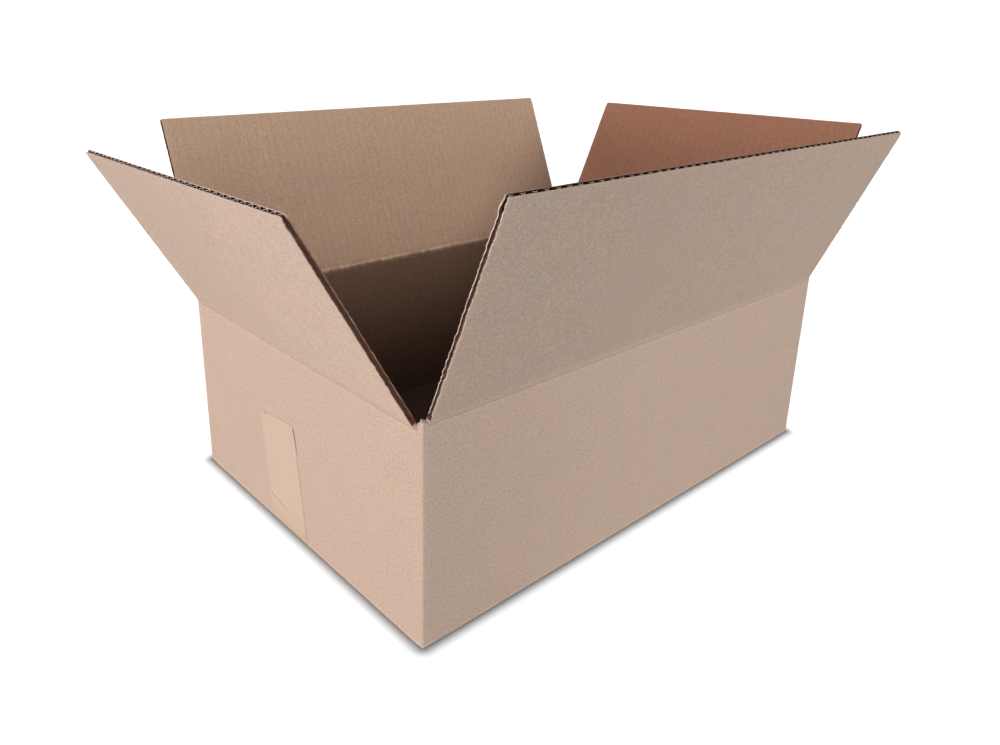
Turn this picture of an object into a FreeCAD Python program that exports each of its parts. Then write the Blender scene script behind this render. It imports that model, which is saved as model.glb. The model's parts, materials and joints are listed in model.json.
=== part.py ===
import FreeCAD, Part
import math
import os
import Sketcher

# An open slotted carton of single-wall corrugated board, standing on its taped bottom.
# X runs along the long walls, Y along the end walls and Z up. The origin is the middle of
# the underside. Front is -Y, back +Y, left -X and right +X.

# Driving dimensions, in millimetres and degrees
DIMENSIONS = {
    "box_length": 434.0,
    "box_width": 290.0,
    "wall_height": 146.5,
    "board": 4.0,
    "liner": 0.4,
    "medium": 0.3,
    "flute_pitch": 7.9,
    "fold_radius": 2.5,
    "lap_gap": 0.2,
    "hinge_gap": 0.1,
    "slot_gap": 0.5,
    "meeting_gap": 0.8,
    "seam_gap": 1.0,
    "post_rise": 3.5,
    "corner_hole": 2.0,
    "crush_depth": 10.0,
    "edge_groove": 1.5,
    "tab_width": 35.0,
    "tab_taper": 10.0,
    "tab_headroom": 3.0,
    "splay_front": 22.5,
    "splay_back": 22.0,
    "splay_left": 30.0,
    "splay_right": 26.0,
    "tape_width": 48.0,
    "tape_film": 0.1,
    "tape_offset": 12.5,
    "tape_tilt": 5.8,
    "tape_rise_left": 88.0,
    "tape_rise_right": 75.0,
}

# How far a cutting outline runs past the board, so that it leaves no skin
OVERRUN = 20.0


def mm(name):
    """Return the sheet's own term for one driving dimension."""
    return f"Sizes.{name}"


# Sizes that follow from the driving ones
HALF_LENGTH = f"({mm('box_length')} / 2)"
HALF_WIDTH = f"({mm('box_width')} / 2)"
BOARD = mm("board")
SLOT_HALF = f"({BOARD} + {mm('slot_gap')})"
FLOOR_TOP = f"(2 * {BOARD} + {mm('lap_gap')})"
# The end scores lie one board lower, so that the closed long flaps lie on the closed end flaps
LONG_SCORE = mm("wall_height")
END_SCORE = f"({LONG_SCORE} - {BOARD} - {mm('lap_gap')})"
# The two long flaps meet over the middle, and the blank's edge is one straight cut
LONG_FLAP = f"({HALF_WIDTH} - {mm('meeting_gap')} / 2)"
END_FLAP = f"({LONG_FLAP} + {BOARD} + {mm('lap_gap')})"
LONG_SPAN = f"({mm('box_length')} - 2 * {SLOT_HALF})"
END_SPAN = f"({mm('box_width')} - 2 * {SLOT_HALF})"


def make_sheet(doc):
    """Put each driving dimension in a cell of its own, under its name."""
    sheet = doc.addObject("Spreadsheet::Sheet", "Sizes")
    for row, (name, value) in enumerate(DIMENSIONS.items(), start=1):
        sheet.set(f"A{row}", name)
        sheet.set(f"B{row}", str(value))
        sheet.setAlias(f"B{row}", name)
    doc.recompute()
    return sheet


def add_sketch(body, name, role, height="0"):
    """Add a sketch on one of the body's own planes, moved along the plane's normal."""
    sketch = body.newObject("Sketcher::SketchObject", name)
    support = next(item for item in body.Origin.OriginFeatures if item.Role == role)
    sketch.AttachmentSupport = [(support, "")]
    sketch.MapMode = "FlatFace"
    sketch.setExpression("AttachmentOffset.Base.z", height)
    return sketch


def add_outline(sketch, label, corners):
    """Add a closed outline whose corners are pairs of terms measured from the origin."""
    first = sketch.GeometryCount
    count = len(corners)
    turns = [2 * math.pi * index / count for index in range(count + 1)]
    ring = [FreeCAD.Vector(math.cos(turn), math.sin(turn), 0) for turn in turns]
    for index in range(count):
        sketch.addGeometry(Part.LineSegment(ring[index], ring[index + 1]), False)
    for index in range(count):
        follower = first + (index + 1) % count
        sketch.addConstraint(Sketcher.Constraint("Coincident", first + index, 2, follower, 1))
    for index, corner in enumerate(corners):
        for axis, term in zip("XY", corner):
            kind = f"Distance{axis}"
            value = ring[index].x if axis == "X" else ring[index].y
            number = sketch.addConstraint(
                Sketcher.Constraint(kind, -1, 1, first + index, 1, value)
            )
            constraint = f"{label}{index}{axis}"
            sketch.renameConstraint(number, constraint)
            sketch.setExpression(f"Constraints.{constraint}", term)


def add_box_outline(sketch, label, low_x, low_y, high_x, high_y):
    """Add a rectangle between two corners."""
    corners = [(low_x, low_y), (high_x, low_y), (high_x, high_y), (low_x, high_y)]
    add_outline(sketch, label, corners)


def add_feature(body, kind, name, sketch, length, symmetric=False, reverse=False):
    """Add a Pad or a Pocket of one sketch, with its length as a term."""
    feature = body.newObject(f"PartDesign::{kind}", name)
    feature.Profile = sketch
    feature.SideType = "Symmetric" if symmetric else "One side"
    feature.Reversed = reverse
    feature.setExpression("Length", length)
    return feature


def round_folds(doc, body, block):
    """Round the four upright folds and the four bottom ones."""
    doc.recompute()
    names = []
    for number, edge in enumerate(block.Shape.Edges, start=1):
        low = edge.BoundBox.ZMin
        high = edge.BoundBox.ZMax
        is_upright = high - low > 1
        is_bottom = high < 0.001
        if is_upright or is_bottom:
            names.append(f"Edge{number}")
    fillet = body.newObject("PartDesign::Fillet", "folds")
    fillet.Base = (block, names)
    fillet.setExpression("Radius", mm("fold_radius"))


def cut_inside(body):
    """Open the inside down to the end flaps, and between them down to the long flaps."""
    inner_x = f"({HALF_LENGTH} - {BOARD})"
    inner_y = f"({HALF_WIDTH} - {BOARD})"
    clear_height = f"{LONG_SCORE} + {mm('post_rise')}"

    sketch = add_sketch(body, "inside_outline", "XY_Plane", FLOOR_TOP)
    add_box_outline(sketch, "inside", f"-{inner_x}", f"-{inner_y}", inner_x, inner_y)
    add_feature(body, "Pocket", "inside", sketch, clear_height, reverse=True)

    between = f"({HALF_LENGTH} - {END_FLAP})"
    sketch = add_sketch(body, "between_outline", "XY_Plane", BOARD)
    add_box_outline(sketch, "between", f"-{between}", f"-{inner_y}", between, inner_y)
    add_feature(body, "Pocket", "between_end_flaps", sketch, clear_height, reverse=True)


def cut_bottom_gaps(body):
    """Part the bottom flaps where they lie on, meet or end beside each other."""
    inner_x = f"({HALF_LENGTH} - {BOARD})"
    inner_y = f"({HALF_WIDTH} - {BOARD})"

    sketch = add_sketch(body, "lap_outline", "XZ_Plane")
    lap_top = f"{BOARD} + {mm('lap_gap')}"
    add_box_outline(sketch, "lap", f"-{inner_x}", BOARD, inner_x, lap_top)
    add_feature(body, "Pocket", "lap", sketch, f"2 * {inner_y}", symmetric=True)

    sketch = add_sketch(body, "seam_outline", "XY_Plane")
    seam = f"({mm('seam_gap')} / 2)"
    add_box_outline(sketch, "seam", f"-{inner_x}", f"-{seam}", inner_x, seam)
    add_feature(body, "Pocket", "seam", sketch, BOARD, reverse=True)

    sketch = add_sketch(body, "flap_end_outline", "XY_Plane")
    flap_end = f"({HALF_LENGTH} - {SLOT_HALF})"
    add_box_outline(sketch, "leftend", f"-{inner_x}", f"-{inner_y}", f"-{flap_end}", inner_y)
    add_box_outline(sketch, "rightend", flap_end, f"-{inner_y}", inner_x, inner_y)
    add_feature(body, "Pocket", "flap_ends", sketch, BOARD, reverse=True)

    sketch = add_sketch(body, "corner_outline", "XY_Plane")
    side_edge = f"({HALF_WIDTH} - {SLOT_HALF})"
    outer_x = f"({HALF_LENGTH} + {mm('corner_hole')})"
    outer_y = f"({HALF_WIDTH} + {mm('corner_hole')})"
    add_box_outline(sketch, "frontright", flap_end, f"-{outer_y}", outer_x, f"-{side_edge}")
    add_box_outline(sketch, "backright", flap_end, side_edge, outer_x, outer_y)
    add_box_outline(sketch, "backleft", f"-{outer_x}", side_edge, f"-{flap_end}", outer_y)
    add_box_outline(sketch, "frontleft", f"-{outer_x}", f"-{outer_y}", f"-{flap_end}", f"-{side_edge}")
    add_feature(body, "Pocket", "corner_holes", sketch, mm("corner_hole"), reverse=True)


def cut_score(body, name, role, half_span, score, run):
    """Cut the tops of two facing walls back to a 45 degree mitre below their score."""
    edge = f"{score} - {mm('hinge_gap')}"
    inner = f"({half_span} - {BOARD} - {OVERRUN})"
    outer = f"({half_span} + {OVERRUN})"
    low = f"{edge} - {BOARD} - {OVERRUN}"
    high = f"{edge} + {OVERRUN}"
    top = f"{LONG_SCORE} + {mm('post_rise')} + {OVERRUN} + {BOARD}"
    sketch = add_sketch(body, f"{name}_outline", role)
    corners = [
        (f"-{outer}", high),
        (f"-{inner}", low),
        (inner, low),
        (outer, high),
        (outer, top),
        (f"-{outer}", top),
    ]
    add_outline(sketch, name, corners)
    add_feature(body, "Pocket", f"{name}_mitre", sketch, run, symmetric=True)


def add_glue_tab(body):
    """Lay the maker's joint, a tapered tab of the back wall, on the left wall's inner face."""
    wall = f"({HALF_WIDTH} - {BOARD})"
    edge = f"({wall} - {mm('tab_width')})"
    top = f"({END_SCORE} - {BOARD} - {mm('tab_headroom')})"
    sketch = add_sketch(body, "tab_outline", "YZ_Plane", f"-({HALF_LENGTH} - {BOARD})")
    corners = [
        (wall, FLOOR_TOP),
        (wall, top),
        (edge, f"{top} - {mm('tab_taper')}"),
        (edge, f"{FLOOR_TOP} + {mm('tab_taper')}"),
    ]
    add_outline(sketch, "tab", corners)
    add_feature(body, "Pad", "glue_tab", sketch, BOARD)


def add_tape_run(sketch):
    """Outline the tape from the side: along the underside and round both bottom folds."""
    film = mm("tape_film")
    fold = mm("fold_radius")
    corners = [
        (f"-{HALF_LENGTH} - {film}", fold),
        (f"-{HALF_LENGTH} - {film} + {fold}", "0"),
        (f"{HALF_LENGTH} + {film} - {fold}", "0"),
        (f"{HALF_LENGTH} + {film}", fold),
        (f"{HALF_LENGTH} + {film}", mm("tape_rise_right")),
        (HALF_LENGTH, mm("tape_rise_right")),
        (HALF_LENGTH, fold),
        (f"{HALF_LENGTH} - {fold}", film),
        (f"-{HALF_LENGTH} + {fold}", film),
        (f"-{HALF_LENGTH}", fold),
    ]
    add_outline(sketch, "run", corners)


def make_carton(doc):
    """Fold the walls, the taped bottom and the glue tab, which are one sheet of board."""
    body = doc.addObject("PartDesign::Body", "carton_body")
    sketch = add_sketch(body, "outline", "XY_Plane")
    add_box_outline(sketch, "wall", f"-{HALF_LENGTH}", f"-{HALF_WIDTH}", HALF_LENGTH, HALF_WIDTH)
    block = add_feature(body, "Pad", "block", sketch, f"{LONG_SCORE} + {mm('post_rise')}")
    round_folds(doc, body, block)
    cut_inside(body)
    cut_bottom_gaps(body)
    long_run = f"{mm('box_length')} - 2 * {BOARD}"
    end_run = f"{mm('box_width')} - 2 * {BOARD}"
    cut_score(body, "long_score", "YZ_Plane", HALF_WIDTH, LONG_SCORE, long_run)
    cut_score(body, "end_score", "XZ_Plane", HALF_LENGTH, END_SCORE, end_run)
    add_glue_tab(body)

    # The tape is pressed into the underside, so the box still stands on its board
    track = add_sketch(body, "track_outline", "XZ_Plane", f"-{mm('tape_offset')}")
    add_tape_run(track)
    add_feature(body, "Pocket", "tape_track", track, mm("tape_width"), symmetric=True)
    return body


def make_tape(doc):
    """Lay one strip of tape along the bottom seam and up both ends, leaning on the left."""
    body = doc.addObject("PartDesign::Body", "bottom_tape")
    sketch = add_sketch(body, "run_outline", "XZ_Plane", f"-{mm('tape_offset')}")
    add_tape_run(sketch)
    add_feature(body, "Pad", "run", sketch, mm("tape_width"), symmetric=True)

    offset = mm("tape_offset")
    half = f"({mm('tape_width')} / 2)"
    foot = mm("fold_radius")
    reach = f"({mm('tape_rise_left')} - {foot})"
    tilt = mm("tape_tilt")
    middle_y = f"({offset} + {reach} * tan({tilt}))"
    end_y = f"{half} * cos({tilt})"
    end_z = f"{half} * sin({tilt})"
    leg = add_sketch(body, "leg_outline", "YZ_Plane", f"-{HALF_LENGTH}")
    corners = [
        (f"{offset} - {half}", foot),
        (f"{offset} + {half}", foot),
        (f"{middle_y} + {end_y}", f"{foot} + {reach} - {end_z}"),
        (f"{middle_y} - {end_y}", f"{foot} + {reach} + {end_z}"),
    ]
    add_outline(leg, "leg", corners)
    add_feature(body, "Pad", "left_leg", leg, mm("tape_film"), reverse=True)
    return body


def make_flap(doc, name, span, length, seat, heading, splay):
    """Make one top flap about its score, with its flutes open at the free edge.

    The flap is drawn upright: its score along X at the origin, its outer face on Y = 0 and
    its inner face one board behind. Then it is turned to its wall and tipped outward."""
    body = doc.addObject("PartDesign::Body", name)
    profile = add_sketch(body, "profile", "YZ_Plane")
    corners = [
        ("0", mm("hinge_gap")),
        (BOARD, f"{BOARD} + {mm('hinge_gap')}"),
        (BOARD, length),
        ("0", length),
    ]
    add_outline(profile, "side", corners)
    add_feature(body, "Pad", "board", profile, span, symmetric=True)

    pitch = mm("flute_pitch")
    medium = mm("medium")
    liner = mm("liner")
    inner_liner = f"({BOARD} - {liner})"
    channel = f"{length} - {mm('crush_depth')}"
    room = f"({span} - 2 * {mm('edge_groove')} - 4 * {medium} - {pitch} / 2)"
    flutes = f"floor({room} / {pitch})"
    start = f"(-({flutes} + 0.5) * {pitch} / 2)"

    # One flute is a channel that stands on the outer liner and one that hangs from the inner
    sketch = add_sketch(body, "flute_outline", "XY_Plane", length)
    outer_channel = [
        (f"{start} + {medium}", liner),
        (f"{start} + {pitch} - {medium}", liner),
        (f"{start} + {pitch} / 2", f"{inner_liner} - {medium}"),
    ]
    inner_channel = [
        (f"{start} + {pitch} / 2 + {medium}", inner_liner),
        (f"{start} + {pitch}", f"{liner} + {medium}"),
        (f"{start} + 1.5 * {pitch} - {medium}", inner_liner),
    ]
    add_outline(sketch, "outer", outer_channel)
    add_outline(sketch, "inner", inner_channel)
    flute = add_feature(body, "Pocket", "flute", sketch, channel)
    doc.recompute()

    row = body.newObject("PartDesign::LinearPattern", "flutes")
    row.Originals = [flute]
    along = next(item for item in body.Origin.OriginFeatures if item.Role == "X_Axis")
    row.Direction = (along, [""])
    row.setExpression("Length", f"({flutes} - 1) * {pitch}")
    row.setExpression("Occurrences", flutes)
    body.Tip = row

    # The side edges are cut along a flute, which leaves a groove between the liners
    groove = add_sketch(body, "groove_outline", "XY_Plane", length)
    half_span = f"({span} / 2)"
    groove_floor = f"({half_span} - {mm('edge_groove')})"
    add_box_outline(groove, "low", f"-{half_span}", liner, f"-{groove_floor}", inner_liner)
    add_box_outline(groove, "high", groove_floor, liner, half_span, inner_liner)
    add_feature(body, "Pocket", "edge_grooves", groove, channel)

    turn = f"rotation(vector(0; 0; 1); {heading}) * rotation(vector(1; 0; 0); {splay})"
    body.setExpression("Placement", f"placement(vector({seat}); {turn})")
    return body


def check(doc, bodies):
    """Stop if a feature failed, added or cut nothing, or left a body that is no solid."""
    for item in doc.Objects:
        if "Invalid" in item.State or "Error" in item.State:
            raise RuntimeError(f"{item.Name} failed: {item.State}")
        base = getattr(item, "BaseFeature", None)
        if item.TypeId in ("PartDesign::Pocket", "PartDesign::Pad") and base is not None:
            growth = item.Shape.Volume - base.Shape.Volume
            expected = 1 if item.TypeId == "PartDesign::Pad" else -1
            if growth * expected <= 0:
                raise RuntimeError(f"{item.Name} changed the volume by {growth}")
    for body in bodies:
        if body.Shape.isNull() or not body.Shape.isValid():
            raise RuntimeError(f"{body.Label} has no valid shape")
        if len(body.Shape.Solids) != 1:
            raise RuntimeError(f"{body.Label} has {len(body.Shape.Solids)} solids")


def main():
    """Build the document, check it and write one file for each piece."""
    doc = FreeCAD.newDocument("open_carton")
    make_sheet(doc)
    long_seat = f"0; {{sign}}{HALF_WIDTH}; {LONG_SCORE}"
    end_seat = f"{{sign}}{HALF_LENGTH}; 0; {END_SCORE}"
    long_flap = (LONG_SPAN, LONG_FLAP)
    end_flap = (END_SPAN, END_FLAP)
    flaps = [
        ("top_flap_front", long_flap, long_seat.format(sign="-"), 0, mm("splay_front")),
        ("top_flap_back", long_flap, long_seat.format(sign=""), 180, mm("splay_back")),
        ("top_flap_left", end_flap, end_seat.format(sign="-"), -90, mm("splay_left")),
        ("top_flap_right", end_flap, end_seat.format(sign=""), 90, mm("splay_right")),
    ]
    bodies = [make_carton(doc), make_tape(doc)]
    for name, (span, length), seat, heading, splay in flaps:
        bodies.append(make_flap(doc, name, span, length, seat, heading, splay))
    doc.recompute()
    check(doc, bodies)
    os.makedirs("parts", exist_ok=True)
    for body in bodies:
        body.Shape.exportStep(f"parts/{body.Label}.step")


main()
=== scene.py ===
import json
import math

import bpy
import numpy as np
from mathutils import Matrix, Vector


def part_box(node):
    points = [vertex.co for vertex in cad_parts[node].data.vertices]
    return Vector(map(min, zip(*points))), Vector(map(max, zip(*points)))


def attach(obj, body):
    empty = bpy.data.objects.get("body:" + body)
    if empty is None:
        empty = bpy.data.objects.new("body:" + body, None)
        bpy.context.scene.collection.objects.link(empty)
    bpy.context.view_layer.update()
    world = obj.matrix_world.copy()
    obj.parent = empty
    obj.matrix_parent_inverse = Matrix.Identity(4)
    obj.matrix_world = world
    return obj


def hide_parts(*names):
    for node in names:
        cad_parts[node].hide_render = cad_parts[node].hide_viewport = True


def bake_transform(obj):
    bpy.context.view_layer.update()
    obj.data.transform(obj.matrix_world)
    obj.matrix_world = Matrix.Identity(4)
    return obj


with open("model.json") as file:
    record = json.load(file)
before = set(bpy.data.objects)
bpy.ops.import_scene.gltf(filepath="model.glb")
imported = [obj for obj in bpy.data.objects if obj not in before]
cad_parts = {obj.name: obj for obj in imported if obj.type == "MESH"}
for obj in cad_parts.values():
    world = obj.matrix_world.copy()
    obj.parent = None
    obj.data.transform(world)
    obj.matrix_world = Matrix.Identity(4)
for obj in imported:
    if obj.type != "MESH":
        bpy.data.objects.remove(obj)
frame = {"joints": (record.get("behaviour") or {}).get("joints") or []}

bl_info = {
    "name": "Open carton",
    "version": (1, 0, 0),
    "blender": (4, 5, 0),
    "location": "View3D > Sidebar > Carton",
    "description": "Dresses an open slotted carton of corrugated board",
    "category": "Add Mesh",
}

MM = 0.001
WHITE = (1.0, 1.0, 1.0)
UP = np.array([0.0, 0.0, 1.0])
OUTWARD = {
    "front": np.array([0.0, -1.0, 0.0]),
    "right": np.array([1.0, 0.0, 0.0]),
    "back": np.array([0.0, 1.0, 0.0]),
    "left": np.array([-1.0, 0.0, 0.0]),
}
SIDES = list(OUTWARD)
JOINTS = {joint["child"]: joint for joint in frame["joints"]}
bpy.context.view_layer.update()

# Finishes by their place in each piece's list of materials
OUTSIDE, INSIDE, CORE, EDGE = range(4)

# Marks at the free corners of the top flaps, by side and by end along the score, in mm:
# how far the outer and the inner liner's corners are rounded, how ragged the flutes' paper
# is there (a share; where negative, painted shade that darkens a bent corner's hidden
# paper), how far the tip is pushed along the score and up the flap, and how far the side
# cut lies in
CORNER_MARKS = {
    ("left", 1): {"rounded": (1.2, 1.6), "frayed": 0.6, "drawn": 2.6},
    ("left", -1): {"rounded": (1.6, 0.3)},
    # Painted shade: the negative share darkens this bent corner's hidden paper
    ("front", 1): {"rounded": (4.5, 0.3), "frayed": -1, "push": (0.2, 0)},
    ("front", -1): {"rounded": (0.8, 0.8)},
    ("back", 1): {"rounded": (0.4, 0.4)},
    ("back", -1): {"rounded": (0.4, 0.4)},
    ("right", 1): {"rounded": (0.6, 0.6)},
    ("right", -1): {"rounded": (0.2, 0.2), "push": (0.2, 0.2)},
}

# The cut edges of the top flaps: how narrow the flutes' outer crests are (1 is a plain
# wave), how pale the side cuts are and how pale the inner liner's free cut is (shares), how
# torn the side cuts are (a share), and in mm how far the free edge lies below its line at
# the two ends, and how far the inner liner stops short of the outer one
FLAP_EDGES = {
    "front": {"crests": 0.25, "pale": 0.75, "rim": 0.0, "torn": 1.0, "below": (0.6, 0.3), "short": 0.3},
    "right": {"crests": 1.0, "pale": 0.3, "rim": 0.3, "torn": 0.3, "below": (0.0, 0.0), "short": 0.0},
    "back": {"crests": 1.0, "pale": 0.3, "rim": 0.3, "torn": 0.3, "below": (0.0, 0.0), "short": 0.0},
    "left": {"crests": 1.0, "pale": 0.5, "rim": 1.0, "torn": 1.0, "below": (3.4, 1.0), "short": 0.3},
}

# The tape's two edges on the left wall, as places along the wall and heights, in mm: each
# slants a little, and the near one bends where the strip was pressed on unevenly
TAPE_FAR_EDGE = ((35, 0), (37, 22), (45, 85))
TAPE_NEAR_EDGE = ((-13, 0), (-12.5, 13), (-6, 60), (-5, 76), (-1.5, 90))

# The tape's wrinkles, each from one place on the wall to another, with its width and height
# in mm, and its pale and dark (negative) strokes, with their width and strength: painted
# highlights and painted shade along the wrinkles, and a painted shadow under the lifted tip
TAPE_WRINKLES = (
    ((35.2, 19.6), (-1.3, 16.8), 1.0, 0.25),
    ((-2.0, 88.0), (-5.0, 72.0), 0.9, 0.5),
    ((1.5, 89.0), (-2.0, 76.0), 0.8, -0.2),
    ((-5.0, 58.0), (10.0, 58.5), 0.8, 0.15),
)
TAPE_PAINTED_SHADING = (
    ((35.5, 19.9), (11.7, 16.6), 0.8, -1.0),
    ((35.5, 22.3), (8.0, 18.6), 1.3, 0.7),
    ((35.3, 44.2), (9.3, 52.6), 0.7, -0.35),
    ((35.3, 42.4), (9.3, 50.8), 0.9, 0.4),
    ((42.6, 86.4), (35.8, 84.6), 0.7, -1.6),
    ((-1.5, 89.0), (-5.3, 72.0), 0.9, 0.9),
    ((2.5, 88.0), (-1.5, 74.0), 0.6, -0.5),
)

# Painted light and shade on the outside paper of the flaps and the walls: from one place
# along the sheet to another, in metres, and the change of brightness there. The inside's
# painted shade is darkest at the back right corner's place along the sheet
FLAP_PAINTED_LIGHT = ((-0.217, 0.217, -0.11, 0.0), (1.0, 1.22, 0.0, 0.1))
WALL_PAINTED_LIGHT = ((-0.217, 0.0, -0.04, 0.07), (0.3, 0.5, 0.0, -0.06))
PAINTED_SHADE_CORNER = 0.507

# The studio's light by where it comes from: a direction along the floor, the height band
# of the sky that it fills, and its colour
SKY = (
    ("left", "low", (4.08, 4.08, 4.12)),
    ("left", "middle", (1.15, 1.05, 1.0)),
    ("front", "low", (0.1, 0.14, 0.17)),
    ("front", "middle", (2.0, 2.09, 2.13)),
    ("right", "low", (1.7, 1.7, 1.7)),
    ("right", "middle", (0.8, 0.8, 0.8)),
    ("back", "low", (1.7, 1.7, 1.7)),
    ("back", "middle", (0.8, 0.8, 0.8)),
)
# Two tints of the paper, as factors
WARM_TINT = (1.015, 0.995, 0.985)
COOL_TINT = (0.985, 1.005, 1.015)

# The glow of the floor that the camera sees, by its distance from the box as a share of
# the shadow's width
CONTACT_SHADOW = (
    (0.0, 0.0), (1.0, 1.0), (0.11, 0.15), (0.32, 0.5), (0.5, 0.73), (0.75, 0.93),
)
SHADOW_TINT = (0.78, 0.9, 1.0)
SHADOW_WIDTH = 0.0133
SHADOW_CORNER = 0.003

# The light from above, and what the floor gives back to the object
SKY_TOP = (0.13, 0.13, 0.13)
FLOOR_BOUNCE = (0.22, 0.28, 0.29)

# The camera: focal length in mm, shift of the frame, place in metres and turn in degrees
LENS = 28.459
SHIFT = (0.05312, -0.08130)
CAMERA_PLACE = (-0.45484, -0.44317, 0.34631)
CAMERA_TURN = (72.1794, -0.5346, -40.2819)


def length_property(name, description, default):
    """A size in metres that a user may change."""
    return bpy.props.FloatProperty(
        name=name, description=description, default=default, min=0.0, subtype="DISTANCE",
        unit="LENGTH", precision=5,
    )


def colour_property(name, description, default):
    """A colour that a user may change."""
    return bpy.props.FloatVectorProperty(
        name=name, description=description, default=default, size=3, min=0.0, max=1.0,
        subtype="COLOR",
    )


class CartonSizes(bpy.types.PropertyGroup):
    board: length_property("Board", "Thickness of the board", 4.0 * MM)
    liner: length_property("Liner", "Thickness of the two flat papers", 0.4 * MM)
    medium: length_property("Medium", "Thickness of the wavy paper", 0.3 * MM)
    pitch: length_property("Flute pitch", "From one flute to the next", 7.9 * MM)
    groove: length_property("Side groove", "How deep the side cuts lie open", 1.5 * MM)
    crease: length_property("Crease", "How far a score's crease reaches each way", 5.0 * MM)
    score_skin: length_property("Score skin", "Thickness of the board at the score", 3.2 * MM)
    bead: length_property("Bead", "Height of the raised line in a crease", 0.35 * MM)
    free_edge: length_property("Free edge", "Thickness of a flap at its free cut", 3.3 * MM)
    fray: length_property("Fray", "How much thicker a liner's fuzzy side cut is", 0.2 * MM)
    facet: length_property("Facet", "Width of the flat beside each wall fold", 8.3 * MM)
    pinch: length_property("Pinch", "How much a side cut presses the board together", 0.5 * MM)
    fold: length_property("Fold radius", "Outer radius of the wall folds", 1.4 * MM)
    bottom_fold: length_property("Bottom fold radius", "Outer radius of the bottom folds", 1.0 * MM)
    inner_fold: length_property("Inner fold radius", "Inner radius of the wall folds", 0.8 * MM)
    slot: length_property("Slot", "From a wall's fold to its flap's side edge", 4.5 * MM)
    corner_hole: length_property("Corner hole", "Height of the open bottom corners", 0.3 * MM)
    tab: length_property("Glue tab", "Width of the tab of the maker's joint", 35.0 * MM)
    tab_taper: length_property("Tab taper", "How much the tab narrows at each end", 10.0 * MM)
    tab_headroom: length_property("Tab headroom", "From the tab to the crease above", 2.0 * MM)
    film: length_property("Tape film", "Thickness of the tape", 0.1 * MM)
    tape_middle: length_property("Tape place", "Middle of the tape under the box", 12.5 * MM)
    tape_width: length_property("Tape width", "Width of the tape", 48.0 * MM)
    tape_rise: length_property("Tape rise", "Height of the tape on the right wall", 75.0 * MM)


class CartonColours(bpy.types.PropertyGroup):
    outside: colour_property("Outside", "Kraft paper outside", (0.66, 0.47, 0.37))
    inside: colour_property("Inside", "Kraft paper inside", (0.70, 0.475, 0.335))
    # Painted shade: the right flap's inside takes a darker, redder colour than the inside paper
    shaded_inside_right: colour_property("Right flap inside", "Redder paper", (0.385, 0.185, 0.118))
    # Painted shade: the walls' inside below the score takes this darker colour
    depth: colour_property("Depth", "Paper of the walls inside", (0.265, 0.163, 0.113))
    core: colour_property("Core", "Paper of the flutes", (0.27, 0.125, 0.085))
    edge: colour_property("Cut edge", "Torn and cut paper", (0.84, 0.68, 0.59))
    tape: colour_property("Tape", "Film and glue of the tape", (0.675, 0.488, 0.35))
    floor: colour_property("Floor", "Floor that the box stands on", (0.45, 0.45, 0.45))


class Side:
    """One side of the carton: where its score lies, and the directions along the score, up
    the flap and through the board from the outer face to the inner one."""

    def __init__(self, name, board):
        joint = JOINTS[f"{name}_flap"]
        self.name = name
        self.body = f"{name}_flap"
        self.out = OUTWARD[name]
        self.score = np.array(joint["pos_m"])
        self.splay = math.radians(-joint["range_deg"][0] - 90.0)
        self.along = np.cross(UP, self.out)
        self.rise = self.out * math.sin(self.splay) + UP * math.cos(self.splay)
        self.through = -self.out * math.cos(self.splay) + UP * math.sin(self.splay)
        low, high = (np.array(corner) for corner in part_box(f"top_flap_{name}"))
        self.half_span = abs(np.dot(high - low, self.along)) / 2
        top = high[2] - self.score[2] - board * math.sin(self.splay)
        self.length = top / math.cos(self.splay)
        wall_low, wall_high = (np.array(corner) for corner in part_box("carton_body"))
        self.half_wall = abs(np.dot(wall_high - wall_low, self.along)) / 2
        self.reach = abs(np.dot(wall_high - wall_low, self.out)) / 2
        self.middle = SIDES.index(name) * (self.half_wall + self.reach)

    def place(self, x, h, n):
        """A point of the flap: x along the score, h up the flap and n through the board."""
        return (
            self.score + x[..., None] * self.along + h[..., None] * self.rise
            + n[..., None] * self.through
        )


def ease(value, low, high):
    """Rise smoothly from 0 at low to 1 at high."""
    share = np.clip((value - low) / (high - low), 0.0, 1.0)
    return share * share * (3.0 - 2.0 * share)


def ladder(start, *runs):
    """Places from start on: each run is an end and the number of equal steps to it."""
    places = [np.array([start])]
    for end, count in runs:
        places.append(np.linspace(places[-1][-1], end, count + 1)[1:])
    return np.concatenate(places)


def wander(value, pitch, size, seed):
    """A smooth random wander: seeded knots one pitch apart, joined by smooth steps."""
    first = math.floor(float(np.min(value)) / pitch) - 1
    count = math.ceil(float(np.max(value)) / pitch) - first + 3
    knots = np.random.default_rng(seed).uniform(-1.0, 1.0, count)
    place = value / pitch - first
    index = np.floor(place).astype(int)
    share = place - index
    share = share * share * (3.0 - 2.0 * share)
    return size * (knots[index] * (1.0 - share) + knots[index + 1] * share)


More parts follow.
